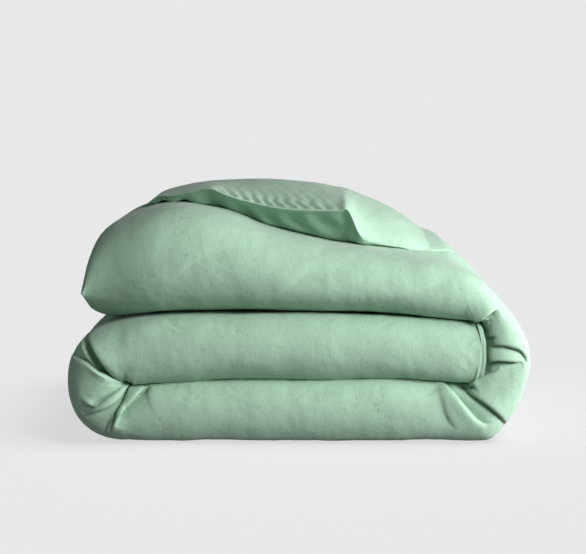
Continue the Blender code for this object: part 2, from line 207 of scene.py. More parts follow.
def upper_path():
    """From the widest point of the right fold, over the mouth, along the top to the head."""
    crease = HINGES["top_open"] - Vector((0, 0, 0.010))
    outer = interpolate_bezier(WIDEST, WIDEST + Vector((0, 0, 0.058)),
                               crease + Vector((0.036, 0, -0.030)), crease, 16)
    corner = Vector((MOUTH_X + FOLD_GAP, 0, TOP_LOW.z + 0.0005))
    inner = [Vector((corner.x, 0, z)) for z in np.linspace(WIDEST.z, corner.z, 9)]
    inner_end = crease.x - 0.028
    inner += [Vector((x, 0, corner.z)) for x in np.linspace(corner.x, inner_end, 8)[1:]]
    rows = [(skin.x, skin.z, core.x, core.z) for skin, core in zip(outer, inner)]
    return rows + [(x, z, min(x, inner_end), low) for x, z, low in top_curve()[1:]]


# ---------------------------------------------------------------- cloth wrapped round a path

# Steps round the strip: its front roll, each of its two flat sides, and its back roll.
FRONT_STEPS, SIDE_STEPS, BACK_STEPS = 56, 24, 20
AROUND = FRONT_STEPS + BACK_STEPS + 2 * SIDE_STEPS


def girth(rows, step):
    """Points round each row's oval: rows hold outer, inner, front, back, reach and squareness."""
    outer, inner = rows[:, 0:2], rows[:, 2:4]
    front, back, reach, square = rows[:, 4], rows[:, 5], rows[:, 6], rows[:, 7]
    turn = np.pi * np.clip(step / FRONT_STEPS, 0, 1) - np.pi / 2
    behind = np.pi * np.clip((step - FRONT_STEPS - SIDE_STEPS) / BACK_STEPS, 0, 1) - np.pi / 2
    over = np.clip((step - FRONT_STEPS) / SIDE_STEPS, 0, 1)
    under = np.clip((step - FRONT_STEPS - SIDE_STEPS - BACK_STEPS) / SIDE_STEPS, 0, 1)
    front_y, back_y = front + reach, back - reach
    bulge = np.sign(np.cos(turn)) * np.abs(np.cos(turn)) ** square
    in_front = step <= FRONT_STEPS
    at_back = (step > FRONT_STEPS + SIDE_STEPS) & (step <= FRONT_STEPS + SIDE_STEPS + BACK_STEPS)
    over_side = (step > FRONT_STEPS) & (step <= FRONT_STEPS + SIDE_STEPS)
    y = np.select([in_front, over_side, at_back],
                  [front_y - reach * bulge, front_y + (back_y - front_y) * over,
                   back_y + reach * np.cos(behind)], back_y + (front_y - back_y) * under)
    height = np.select([in_front, over_side, at_back], [np.sin(turn), 1, -np.sin(behind)], -1)
    middle, half = (outer + inner) / 2, (outer - inner) / 2
    flat = middle + half * height[:, None]
    return np.stack([flat[:, 0], y, flat[:, 1]], axis=1)


# Where the layers settle on each other: x, lift of the bottom's top, lift of the middle's top.
SETTLED = [(-0.38, -0.003, -0.004), (-0.33, -0.008, -0.010), (-0.30, -0.010, -0.009),
           (-0.239, -0.006, -0.001), (-0.108, 0.001, 0.003), (0.037, 0.001, 0.003), (0.155, 0.003, 0.0),
           (0.238, -0.002, -0.004), (0.300, -0.004, -0.006), (0.38, 0.0, 0.0)]


def settle(co):
    """The layers sag on each other: heights are warped, and layers that met still meet."""
    lifts = through(SETTLED, co[:, 0])
    low, high = BOTTOM_TOP, MIDDLE_HIGH.z
    z = co[:, 2]
    lift = np.where(z < low, lifts[:, 0] * z / low,
                    np.where(z < high, lifts[:, 0] + (lifts[:, 1] - lifts[:, 0])
                             * (z - low) / (high - low),
                             lifts[:, 1] * np.clip(1 - (z - high) / 0.08, 0, 1)))
    moved = co.copy()
    moved[:, 2] += lift
    return moved


def bow_mouth(co):
    """The free end of the middle third is fuller at its waist than at its two edges, and the fold
    that wraps it follows it."""
    waist, half = (MIDDLE_LOW.z + MIDDLE_HIGH.z) / 2, (MIDDLE_HIGH.z - MIDDLE_LOW.z) / 2
    off = np.abs((co[:, 2] - waist) / half)
    near = ramp(co[:, 0], MOUTH_X - 0.045, MOUTH_X) * ramp(co[:, 0], MOUTH_X + 0.05, MOUTH_X + 0.001)
    beyond = ramp(off, 1.5, 1.05)
    moved = co.copy()
    moved[:, 0] -= near * beyond * MOUTH_BOW * np.clip(off, 0, 1) ** 3
    return moved


def hump(co):
    """Behind its front roll, the top third stands higher next to the right fold."""
    behind = ramp(co[:, 1], FRONT + 0.11, FRONT + 0.24) * ramp(co[:, 1], BACK - 0.02, BACK - 0.14)
    along = ramp(co[:, 0], 0.06, 0.19) * ramp(co[:, 0], 0.325, 0.25)
    moved = co.copy()
    moved[:, 2] += HUMP_HEIGHT * behind * along * ramp(co[:, 2], TOP_LOW.z + 0.01, TOP_LOW.z + 0.07)
    return moved


def linked(name, data):
    """A new object of that name in the scene."""
    thing = bpy.data.objects.new(name, data)
    bpy.context.scene.collection.objects.link(thing)
    return thing


def made(name, form):
    """The finished form as a smooth object of that name in the scene."""
    mesh = bpy.data.meshes.new(name)
    form.to_mesh(mesh)
    form.free()
    mesh.shade_smooth()
    return linked(name, mesh)


def places(mesh):
    """Where each vertex lies."""
    co = np.empty(len(mesh.vertices) * 3)
    mesh.vertices.foreach_get("co", co)
    return co.reshape(-1, 3)


def move(mesh, co):
    """Moves each vertex to its place in co."""
    mesh.vertices.foreach_set("co", np.asarray(co, np.float32).ravel())
    mesh.update()


def run_of(mesh):
    """How far along the strip each vertex lies."""
    run = np.empty(len(mesh.vertices))
    mesh.attributes["run"].data.foreach_get("value", run)
    return run


def facing(mesh):
    """Which way each vertex faces."""
    way = np.empty(len(mesh.vertices) * 3)
    mesh.vertex_normals.foreach_get("vector", way)
    return way.reshape(-1, 3)


def cloth(name, form_points, along, around):
    """A flat grid of cloth moved to form_points[row, step], its UVs in metres of cloth."""
    form = bmesh.new()
    layer = form.loops.layers.uv.new("cloth")
    strip = form.verts.layers.float.new("run")
    bmesh.ops.create_grid(form, x_segments=along, y_segments=around, size=0.5)
    rows = np.linalg.norm(np.diff(form_points, axis=0), axis=2).max(axis=1)
    run = np.concatenate([[0], np.cumsum(rows)])
    steps = np.linalg.norm(np.diff(form_points, axis=1), axis=2)
    round_it = np.concatenate([np.zeros((along + 1, 1)), np.cumsum(steps, axis=1)], axis=1)
    round_it -= round_it[:, FRONT_STEPS // 2][:, None]
    for face in form.faces:
        for loop in face.loops:
            i = round((loop.vert.co.x + 0.5) * along)
            j = round((loop.vert.co.y + 0.5) * around)
            loop[layer].uv = (run[i], round_it[i, j])
    for vertex in form.verts:
        i = round((vertex.co.x + 0.5) * along)
        j = round((vertex.co.y + 0.5) * around)
        vertex.co = form_points[i, j]
        vertex[strip] = run[i]
    bmesh.ops.remove_doubles(form, verts=form.verts, dist=1e-5)
    bmesh.ops.recalc_face_normals(form, faces=form.faces)
    return made(name, form)


def wrapped(name, rows, shape, warp):
    """The strip's cloth wrapped round its rows: shape gives each one's depth and roundness."""
    rows = np.hstack([rows, shape(rows)])
    steps = np.arange(AROUND + 1)
    count = len(rows)
    points = girth(np.repeat(rows, AROUND + 1, axis=0), np.tile(steps, count))
    return cloth(name, warp(points).reshape(count, AROUND + 1, 3), count - 1, AROUND)


def lower_shape(rows):
    """Front, back, reach and squareness of the lower path's rows: square at the hem, and rounder
    round the left fold."""
    thick = np.linalg.norm(rows[:, 0:2] - rows[:, 2:4], axis=1)
    hemmed = (rows[:, 0] > MOUTH_X - 0.012) & (np.arange(len(rows)) < len(HEM_PROFILE) + 2)
    inset = np.maximum(MIDDLE_HIGH.z - rows[:, 1], 0) * hemmed
    turning = ramp(rows[:, 0], LEFT_AXIS_X + 0.03, LEFT_AXIS_X - 0.03)
    return np.stack([FRONT + inset, BACK - inset, thick * (0.42 + 0.10 * turning),
                     0.56 + 0.34 * turning], axis=1)


def top_reach(x):
    """How far the top third's front and back rolls reach in from their edges."""
    return 0.045 + 0.085 * ramp(x, 0.30, 0.10)


def upper_shape(rows):
    """Front, back, reach and squareness of the upper path's rows, rounder towards the head."""
    thick = np.linalg.norm(rows[:, 0:2] - rows[:, 2:4], axis=1)
    x = rows[:, 0]
    head = ramp(x, -0.22, -0.355)
    flat = ramp(rows[:, 3], WIDEST.z, TOP_LOW.z + 0.003)
    reach = thick * 0.42 * (1 - flat) + top_reach(x) * flat
    return np.stack([FRONT + 0.030 * head, BACK - (0.01 + 0.02 * head) * flat, reach,
                     0.56 + (0.08 + 0.24 * head) * flat], axis=1)


# ---------------------------------------------------------------- the flap

# Along the seam's edge, from its left end: x, the edge's y and z, how far behind the edge the
# flap touches the top third, the crown's height, and how sharp the edge is.
FLAP_KNOTS = [
    (-0.268, -0.058, 0.3765, 0.003, 0.379, 1.0),
    (-0.248, -0.085, 0.3915, 0.010, 0.394, 1.0),
    (-0.213, -0.108, 0.3970, 0.014, 0.404, 1.0),
    (-0.168, -0.128, 0.4080, 0.022, 0.4125, 1.0),
    (-0.146, -0.140, 0.4100, 0.028, 0.4145, 1.0),
    (-0.128, -0.146, 0.4020, 0.032, 0.4155, 1.0),
    (-0.084, -0.155, 0.3885, 0.040, 0.4175, 1.0),
    (-0.034, -0.168, 0.3785, 0.046, 0.4170, 1.0),
    (0.014, -0.178, 0.3755, 0.048, 0.4135, 1.0),
    (0.070, -0.189, 0.3755, 0.050, 0.405, 1.0),
    (0.086, -0.192, 0.3755, 0.050, 0.402, 1.0),
    (0.094, -0.186, 0.3580, 0.036, 0.400, 0.7),
    (0.103, -0.177, 0.3370, 0.016, 0.3965, 0.4),
    (0.115, -0.168, 0.3250, 0.006, 0.3915, 0.2),
    (0.130, -0.160, 0.3190, 0.003, 0.3855, 0.1),
    (0.150, -0.154, 0.3140, 0.002, 0.3770, 0.03),
    (0.180, -0.146, 0.3080, 0.002, 0.3610, 0.0),
    (0.220, -0.130, 0.2970, 0.0, 0.3330, 0.0),
    (0.250, -0.112, 0.2900, 0.0, 0.3080, 0.0),
    (0.274, -0.085, 0.2850, 0.0, 0.2870, 0.0)]
# Steps of the flap's grid: along the seam, over the flap to the back roll, and back under it.
FLAP_ALONG, FLAP_OVER, FLAP_UNDER = 130, 76, 40

# How far the flap reaches towards the back.
FLAP_BACK = BACK - 0.0135


def top_height(x, y):
    """Height of the top third where the flap lies on it, its back roll included."""
    outline = top_curve()[::-1]
    top = np.interp(x, outline[:, 0], outline[:, 1])
    middle = (top + TOP_LOW.z) / 2
    reach = top_reach(x)
    fall = np.clip((y - (BACK - 0.01 - reach)) / reach, 0, 1)
    z = middle + (top - middle) * np.sqrt(1 - fall ** 2)
    return hump(np.stack([x, y, z], axis=1))[:, 2]


def flap_points():
    """Over it from the seam to the back roll, and back under it to the seam, for every x."""
    x = np.repeat(np.linspace(FLAP_KNOTS[0][0], FLAP_KNOTS[-1][0], FLAP_ALONG + 1),
                  FLAP_OVER + FLAP_UNDER + 1)
    step = np.tile(np.arange(FLAP_OVER + FLAP_UNDER + 1), FLAP_ALONG + 1)
    edge_y, edge_z, tuck, crown, sharp = through(FLAP_KNOTS, x).T
    share = np.clip(step / FLAP_OVER, 0, 1)
    over = 0.2 * share + 0.8 * share * share * (3 - 2 * share)
    climb = np.clip(over / 0.45, 0, 1)
    roll = 0.45 * (1 - np.cos(np.pi / 2 * climb)) - 0.45 * climb
    y_over = edge_y + (FLAP_BACK - edge_y) * (over + roll * (1 - sharp))
    round_rise = np.sin(np.pi / 2 * climb) ** 0.8
    sharp_rise = 1 - (1 - climb) ** 1.9
    rise = (crown - edge_z) * (round_rise + (sharp_rise - round_rise) * sharp)
    resting = top_height(x, y_over)
    spare = 0.0004 + 0.004 * ramp(x, FLAP_KNOTS[-1][0], 0.20)
    below = top_height(x, np.minimum(y_over, BACK - 0.15))
    loft = np.maximum(edge_z + rise - below, spare * ramp(over, 0, 0.1))
    z_over = resting + spare + (loft - spare) * ramp(over, 1.0, 0.52)
    under = np.clip((step - FLAP_OVER) / FLAP_UNDER, 0, 1) ** 0.8
    y_under = FLAP_BACK + (edge_y - FLAP_BACK) * under
    floor = top_height(x, y_under) + np.minimum(0.0012, spare * 0.5)
    lift = 1 - np.clip((y_under - edge_y) / np.maximum(tuck, 0.004), 0, 1)
    z_under = floor + (edge_z - floor) * lift ** 0.6
    upper_ply = step <= FLAP_OVER
    points = np.stack([x, np.where(upper_ply, y_over, y_under),
                       np.where(upper_ply, z_over, z_under)], axis=1)
    return points.reshape(FLAP_ALONG + 1, FLAP_OVER + FLAP_UNDER + 1, 3)


# The width of the side seam's lip, and how far apart its puckers are.
SEAM_LIP, PUCKER = 0.008, 0.021


def sew_side_seam(co, out):
    """The side seam: a flat lip, the stitched groove behind it, and the puckers that it draws."""
    edge_y = through(FLAP_KNOTS, co[:, 0])[:, 0]
    back = np.clip(co[:, 1] - edge_y, 0, None)
    upper_ply = ramp(out[:, 2], 0.0, 0.3)
    sewn = ramp(co[:, 0], -0.255, -0.235) * ramp(co[:, 0], 0.100, 0.086)
    wander = np.array([noise.noise(Vector((8 * x, 2.5, 30 * b))) for x, b in zip(co[:, 0], back)])
    pull = ramp(co[:, 0], -0.165, -0.10) * ramp(co[:, 0], 0.088, 0.03)
    gather = np.sin(2 * np.pi * (co[:, 0] + 0.35 * back) / PUCKER + 4.5 * wander)
    depth = 0.0032 * gather * pull * ramp(back, 0.003, 0.012) * np.exp(-back / 0.026)
    groove = -0.0011 * np.exp(-((back - SEAM_LIP) / 0.0016) ** 2) * sewn
    co += out * ((depth + groove) * upper_ply)[:, None]
    drape = np.sin(2 * np.pi * (co[:, 0] - 0.6 * back) / 0.047 + 3 * wander)
    beneath = ramp(out[:, 2], 0.1, -0.2) * ramp(back, 0.004, 0.02) * ramp(back, 0.055, 0.035)
    co += out * (0.0030 * drape * beneath * sewn)[:, None]


# ---------------------------------------------------------------- loft, creases and crinkles

def swell(piece, free, cap, excess):
    """Loft: a cloth simulation fills the piece with air where it is free, and no point moves more
    than cap. Excess is the share of spare cloth."""
    start = places(piece.data)
    held = piece.vertex_groups.new(name="held")
    loose = piece.vertex_groups.new(name="loose")
    for index, share in enumerate(free):
        held.add([index], 1 - share, "REPLACE")
        loose.add([index], share, "REPLACE")
    air = piece.modifiers.new("loft", "CLOTH")
    air.settings.quality = 4
    air.settings.mass = 0.3
    air.settings.tension_stiffness = 15
    air.settings.compression_stiffness = 15
    air.settings.shear_stiffness = 5
    air.settings.bending_stiffness = 0.4
    air.settings.vertex_group_mass = "held"
    air.settings.use_pressure = True
    air.settings.uniform_pressure_force = 4
    air.settings.effector_weights.gravity = 0
    air.settings.vertex_group_shrink = "loose"
    air.settings.shrink_min = 0
    air.settings.shrink_max = -excess
    air.collision_settings.use_collision = False
    scene = bpy.context.scene
    for step in range(1, 21):
        scene.frame_set(step)
    swelled = piece.evaluated_get(bpy.context.evaluated_depsgraph_get())
    moved = places(swelled.data) - start
    piece.modifiers.clear()
    piece.vertex_groups.clear()
    scene.frame_set(1)
    far = np.linalg.norm(moved, axis=1)[:, None] + 1e-9
    moved *= cap * np.tanh(far / cap) / far * free[:, None]
    move(piece.data, start + moved)


def refine(piece):
    """One level of subdivision, made final."""
    finer = piece.modifiers.new("finer", "SUBSURF")
    finer.levels = finer.render_levels = 1
    finer.uv_smooth = "PRESERVE_BOUNDARIES"
    evaluated = piece.evaluated_get(bpy.context.evaluated_depsgraph_get())
    mesh = bpy.data.meshes.new_from_object(evaluated)
    piece.modifiers.clear()
    piece.data = mesh
    mesh.name = piece.name
    mesh.shade_smooth()


def crease(co, out, able, stroke, wall=0.0018, valley=0.009, lip=0.006, proud=0.40, lean=0.30):
    """Gathers cloth along a stroke of (x, z, depth): a steep wall under a lip on the stroke's
    left, and a valley that rises slowly on its right. A negative depth makes a ridge of it."""
    knots = np.array(stroke, float)
    count = len(knots)
    line = through(np.column_stack([np.arange(count), knots]), np.linspace(0, count - 1, 5 * count))
    margin = 4 * max(valley, lip)
    low, high = line[:, :2].min(axis=0) - margin, line[:, :2].max(axis=0) + margin
    flat = co[:, [0, 2]]
    near = np.flatnonzero((flat > low).all(axis=1) & (flat < high).all(axis=1)
                          & (co[:, 1] < FRONT + 0.17) & (out[:, 1] < 0.25) & able)
    flat = flat[near]
    best = np.full(len(near), 1e9)
    off, deep = np.zeros(len(near)), np.zeros(len(near))
    aside = np.zeros((len(near), 2))
    for a, b in zip(line, line[1:]):
        way = b[:2] - a[:2]
        length = np.linalg.norm(way)
        t = (flat - a[:2]) @ way / length ** 2
        past = np.clip(np.abs(t - 0.5) - 0.5, 0, None) * length
        t = np.clip(t, 0, 1)
        gap = flat - a[:2] - t[:, None] * way
        far = np.linalg.norm(gap, axis=1)
        nearer = far < best
        left = np.array([-way[1], way[0]]) / length
        best = np.where(nearer, far, best)
        off = np.where(nearer, np.where(gap @ left >= 0, far, -far), off)
        deep = np.where(nearer, (a[2] + (b[2] - a[2]) * t) * np.exp(-(past / 0.004) ** 2), deep)
        aside[nearer] = left
    above, below = np.clip(off, 0, None), np.clip(-off, 0, None)
    swell_up = above / lip * np.exp(1 - above / lip)
    profile = np.where(off >= 0, -np.exp(-above / wall) + proud * swell_up, -np.exp(-below / valley))
    turned = ramp(out[near, 1], 0.25, -0.35)
    push = out[near] * 0.55 + np.array([0, -0.45, 0])
    co[near] += push * (profile * deep * turned)[:, None]
    co[near[:, None], [0, 2]] -= aside * (lean * deep * swell_up * turned)[:, None]


def crinkle(co, out, rows):
    """Soft unevenness: rows give a wavelength, an amplitude, and the share of it in the height."""
    for size, tall, upright in rows:
        scale = np.array([1 / size, 1 / size, upright / size])
        heights = [noise.noise(Vector(point)) for point in co * scale]
        co += out * (tall * np.array(heights))[:, None]


def shut(mesh):
    """Closes the cloth's open ends, with a sharp rim so that the cloth's own shading is kept."""
    form = bmesh.new()
    form.from_mesh(mesh)
    rims = [edge for edge in form.edges if edge.is_boundary]
    made = bmesh.ops.holes_fill(form, edges=rims, sides=0)
    caps = bmesh.ops.triangulate(form, faces=made["faces"], ngon_method="BEAUTY")
    for edge in rims:
        edge.smooth = False
    for face in caps["faces"]:
        face.smooth = False
    bmesh.ops.recalc_face_normals(form, faces=form.faces)
    form.to_mesh(mesh)
    form.free()


# Where the folds gather the cloth: (x, z, depth) along each crease, its lip on the left.
LEFT_FOLD = {
    "under the middle roll": [
        (-0.3517, 0.1735, 0.003), (-0.3379, 0.1597, 0.012), (-0.3271, 0.1460, 0.017),
        (-0.3163, 0.1313, 0.017), (-0.3055, 0.1146, 0.014), (-0.2928, 0.1028, 0.010),
        (-0.2731, 0.0964, 0.005)],
    "over the lower pleat": [
        (-0.2731, 0.0979, 0.004), (-0.2931, 0.1026, 0.008), (-0.3096, 0.1100, 0.012),
        (-0.3232, 0.1176, 0.013), (-0.3367, 0.1281, 0.012), (-0.3487, 0.1356, 0.010),
        (-0.3615, 0.1396, 0.006), (-0.3733, 0.1421, 0.002)],
    "over the band": [
        (-0.2794, 0.0959, 0.002), (-0.2871, 0.0950, 0.004), (-0.3021, 0.0860, 0.006),
        (-0.3201, 0.0725, 0.007), (-0.3367, 0.0606, 0.005), (-0.3502, 0.0500, 0.003)],
    "under the band": [
        (-0.3438, 0.0478, 0.002), (-0.3262, 0.0552, 0.007), (-0.3141, 0.0606, 0.009),
        (-0.3021, 0.0680, 0.009), (-0.2885, 0.0800, 0.007), (-0.2794, 0.0910, 0.003)],
    "left of the loop": [
        (-0.2811, 0.0875, 0.003), (-0.2900, 0.0695, 0.006), (-0.2976, 0.0545, 0.008),
        (-0.2998, 0.0370, 0.006), (-0.3036, 0.0242, 0.003)],
    "right of the loop": [
        (-0.2947, 0.0340, 0.003), (-0.2885, 0.0485, 0.009), (-0.2811, 0.0605, 0.011),
        (-0.2690, 0.0725, 0.012), (-0.2600, 0.0830, 0.014), (-0.2509, 0.0898, 0.012),
        (-0.2437, 0.0910, 0.002)],
    "ridge between": [
        (-0.3560, 0.1655, -0.003), (-0.3485, 0.1515, -0.006), (-0.3385, 0.1380, -0.007),
        (-0.3260, 0.1225, -0.006), (-0.3120, 0.1090, -0.002)],
    "bump": [
        (-0.3320, 0.0630, -0.003), (-0.3400, 0.0680, -0.005), (-0.3490, 0.0715, -0.002)],
    "at the foot": [
        (-0.3035, 0.0440, 0.002), (-0.3090, 0.0320, 0.004), (-0.3145, 0.0200, 0.003),
        (-0.3180, 0.0120, 0.001)]}

RIGHT_FOLD = {
    "notch": [
        (0.2846, 0.1971, 0.004), (0.2914, 0.2000, 0.010), (0.3016, 0.2079, 0.013),
        (0.3131, 0.2157, 0.010), (0.3200, 0.2196, 0.003)],
    "pocket": [
        (0.3004, 0.1725, 0.006), (0.3072, 0.1730, 0.010), (0.3141, 0.1755, 0.006),
        (0.3180, 0.1774, 0.002)],
    "upper arc": [
        (0.3141, 0.1617, 0.003), (0.3223, 0.1623, 0.006), (0.3337, 0.1627, 0.007),
        (0.3444, 0.1606, 0.007), (0.3615, 0.1537, 0.006), (0.3718, 0.1401, 0.004)],
    "lip over the elbow": [
        (0.2945, 0.1293, 0.006), (0.3000, 0.1307, 0.010), (0.3154, 0.1358, 0.012),
        (0.3291, 0.1375, 0.012), (0.3444, 0.1358, 0.009), (0.3548, 0.1341, 0.005),
        (0.3632, 0.1347, 0.003)],
    "elbow's lower side": [
        (0.3259, 0.1254, 0.002), (0.3180, 0.1190, 0.004), (0.3082, 0.1146, 0.006),
        (0.2974, 0.1106, 0.006), (0.2896, 0.1067, 0.006)],
    "soft fold": [
        (0.2278, 0.0898, 0.001), (0.2347, 0.0671, 0.003), (0.2440, 0.0419, 0.003),
        (0.2555, 0.0259, 0.001)],
    "hollow": [
        (0.2630, 0.1018, 0.006), (0.2729, 0.1003, 0.014), (0.2827, 0.0969, 0.014),
        (0.2890, 0.0945, 0.004)],
    "long tuck": [
        (0.2729, 0.0949, 0.008), (0.2778, 0.0887, 0.009), (0.2914, 0.0768, 0.009),
        (0.3085, 0.0648, 0.009), (0.3223, 0.0528, 0.008), (0.3291, 0.0459, 0.006),
        (0.3367, 0.0370, 0.004), (0.3416, 0.0291, 0.003)],
    "edge of the bottom": [
        (0.3092, 0.0331, 0.002), (0.3016, 0.0357, 0.005), (0.2914, 0.0426, 0.008),
        (0.2760, 0.0597, 0.012), (0.2589, 0.0802, 0.013), (0.2454, 0.0949, 0.010),
        (0.2355, 0.1018, 0.004)]}

# The same on the front of the top third, softer.
TOP_ROLL = [
    [(-0.035, 0.245, 0.0), (-0.010, 0.262, 0.0020), (0.012, 0.276, 0.0024), (0.045, 0.288, 0.0)],
    [(-0.200, 0.270, 0.0), (-0.170, 0.296, 0.0022), (-0.140, 0.310, 0.0018), (-0.095, 0.318, 0.0)],
    [(0.120, 0.222, 0.0), (0.170, 0.236, 0.0022), (0.215, 0.256, 0.0020), (0.250, 0.268, 0.0)]]

# How much deeper than listed the cloth is gathered at each fold.
LEFT_DEEPER, RIGHT_DEEPER = 1.45, 1.2

# Creases with a narrow valley, those on the lower ply alone, and those with a softer wall.
NARROW = ("over the band", "left of the loop", "ridge between", "bump")
ON_THE_LOWER_PLY = ("right of the loop", "left of the loop", "under the band", "at the foot")
WALLS = {"soft fold": 0.006, "edge of the bottom": 0.0035}


def crease_folds(co, out, run):
    """The gathers of both folds, where the strip turns; the hemmed end keeps out of them."""
    everywhere = run >= 0
    lower_ply = run > 0.75
    for name, stroke in LEFT_FOLD.items():
        crease(co, out, lower_ply if name in ON_THE_LOWER_PLY else everywhere,
               np.array(stroke) * (1, 1, LEFT_DEEPER), valley=0.005 if name in NARROW else 0.010)
    for stroke in TOP_ROLL:
        crease(co, out, everywhere, stroke, wall=0.009, valley=0.016, lip=0.014, proud=0.7)
    past_hem = (run > 0.2) | (co[:, 0] > MOUTH_X + 0.001) | (co[:, 2] > MIDDLE_HIGH.z)
    for name, stroke in RIGHT_FOLD.items():
        crease(co, out, past_hem, np.array(stroke) * (1, 1, RIGHT_DEEPER),
               wall=WALLS.get(name, 0.0018), valley=0.014 if name in WALLS else 0.008)


# ---------------------------------------------------------------- materials

def node(tree, kind, settings=None, links=None, values=None):
    """Adds a node: its settings, its inputs' values, and links from other nodes' outputs."""
    made = tree.nodes.new(kind)
    for name, value in (settings or {}).items():
        setattr(made, name, value)
    for name, value in (values or {}).items():
        made.inputs[name].default_value = value
    for name, source in (links or {}).items():
        tree.links.new(source, made.inputs[name])
    return made


def principled(name, values):
    """A new material with its shader's values: the material, its node tree and its shader."""
    material = bpy.data.materials.new(name)
    material.use_nodes = True
    shader = material.node_tree.nodes["Principled BSDF"]
    for socket, value in values.items():
        shader.inputs[socket].default_value = value
    return material, material.node_tree, shader


def two_tone(tree, shader, source, dark, light, start=0.0, end=1.0):
    """Colours the shader from dark to light as source goes from start to end."""
    tint = node(tree, "ShaderNodeValToRGB", None, {"Fac": source})
    for element, position, tone in zip(tint.color_ramp.elements, (start, end), (dark, light)):
        element.position = position
        element.color = colour(tone)
    tree.links.new(tint.outputs["Color"], shader.inputs["Base Color"])


def washed_linen():
    """Washed linen, woven and garment-washed: matt, slubby, with soft mottling and a faint nap."""
    material, tree, shader = principled("washed_linen", {
        "Roughness": 0.88, "Sheen Weight": 0.12, "Sheen Roughness": 0.45, "Specular IOR Level": 0.2})
    uv = node(tree, "ShaderNodeUVMap", {"uv_map": "cloth"}).outputs["UV"]
    # Slubs run round the rolls, 2.4 mm apart and up to 12 mm long, and fainter ones along the
    # strip. Real slubs are half as far apart, which would be too fine to see.
    weft = node(tree, "ShaderNodeMapping", None, {"Vector": uv}, {"Scale": (340, 100, 1)})
    warp = node(tree, "ShaderNodeMapping", None, {"Vector": uv}, {"Scale": (90, 380, 1)})
    weft = node(tree, "ShaderNodeTexNoise", None, {"Vector": weft.outputs[0]},
                {"Scale": 1.0, "Detail": 2.0}).outputs["Fac"]
    warp = node(tree, "ShaderNodeTexNoise", None, {"Vector": warp.outputs[0]},
                {"Scale": 1.0, "Detail": 2.0}).outputs["Fac"]
    mottle = node(tree, "ShaderNodeTexNoise", None, {"Vector": uv},
                  {"Scale": 22.0, "Detail": 4.0, "Roughness": 0.6}).outputs["Fac"]
    threads = node(tree, "ShaderNodeMath", {"operation": "MULTIPLY_ADD"},
                   {0: warp, 2: weft}, {1: 0.5}).outputs[0]
    shade = node(tree, "ShaderNodeMath", {"operation": "MULTIPLY_ADD"},
                 {0: mottle, 2: threads}, {1: 0.6}).outputs[0]
    two_tone(tree, shader, shade, "#88ac92", "#9abca5", start=0.72)
    rumple = node(tree, "ShaderNodeTexNoise", None, {"Vector": uv},
                  {"Scale": 70.0, "Detail": 3.0, "Roughness": 0.55, "Distortion": 0.8})
    soft = node(tree, "ShaderNodeBump", None, {"Height": rumple.outputs["Fac"]},
                {"Strength": 0.3, "Distance": 0.002})
    fine = node(tree, "ShaderNodeBump", None, {"Height": threads, "Normal": soft.outputs["Normal"]},
                {"Strength": 0.3, "Distance": 0.0006})
    tree.links.new(fine.outputs["Normal"], shader.inputs["Normal"])
    return material


def shell_button():
    """Polished shell buttons: pale, faintly banded, with a soft lustre."""
    material, tree, shader = principled("shell_button", {"Roughness": 0.22, "Coat Weight": 0.4})
    place = node(tree, "ShaderNodeTexCoord").outputs["Object"]
    bands = node(tree, "ShaderNodeTexNoise", None, {"Vector": place},
                 {"Scale": 260.0, "Detail": 3.0, "Distortion": 1.5}).outputs["Fac"]
    two_tone(tree, shader, bands, "#bfcdbd", "#e6ebdf")
    return material


def linen_thread():
    """Sewing thread, a tone lighter than the cloth, with the twist of its plies."""
    material, tree, shader = principled("linen_thread", {"Roughness": 0.6})
    place = node(tree, "ShaderNodeTexCoord").outputs["Object"]
    twist = node(tree, "ShaderNodeTexNoise", None, {"Vector": place},
                 {"Scale": 900.0, "Detail": 1.0}).outputs["Fac"]
    two_tone(tree, shader, twist, "#8fb39a", "#b4d0bc")
    return material


def cotton_tape():
    """Woven cotton tape: fine ribs across it, matt."""
    material, tree, shader = principled("cotton_tape", {"Roughness": 0.9})
    place = node(tree, "ShaderNodeTexCoord").outputs["Object"]
    ribs = node(tree, "ShaderNodeTexWave", {"bands_direction": "Y"}, {"Vector": place},
                {"Scale": 320.0, "Distortion": 0.6, "Detail": 1.0}).outputs["Fac"]
    two_tone(tree, shader, ribs, "#86a88f", "#a0bfa8")
    bump = node(tree, "ShaderNodeBump", None, {"Height": ribs}, {"Strength": 0.4, "Distance": 0.0004})
    tree.links.new(bump.outputs["Normal"], shader.inputs["Normal"])
    return material


def studio_floor():
    """Painted studio sweep: nearly shadowless, lit by its own light as well as by the lamps."""
    return principled("studio_floor", {
        "Base Color": colour("#8a8a8a"), "Roughness": 1.0, "Specular IOR Level": 0.0,
        "Emission Color": colour("#e8e8e8"), "Emission Strength": 0.802})[0]


# ---------------------------------------------------------------- stage

# The camera: how far it looks down, where it stands, and its focal length in millimetres.
ELEVATION = math.radians(6.5)
EYE = Vector((-0.0075, -2.60, 0.5385))
LENS = 88.5

# The lamps: name, place, size, power and tone. All of them look at the stack's middle.
LAMPS = [("side", (1.9, -0.5, 0.45), 0.9, 52, (1.0, 0.91, 0.96)),
         ("high", (1.25, -1.8, 1.25), 0.9, 54, (1.0, 0.97, 0.99)),
         ("fill", (-2.2, -0.9, 0.5), 2.0, 6, (1.0, 1.0, 1.0))]
STACK_MIDDLE = Vector((0, 0, 0.2))


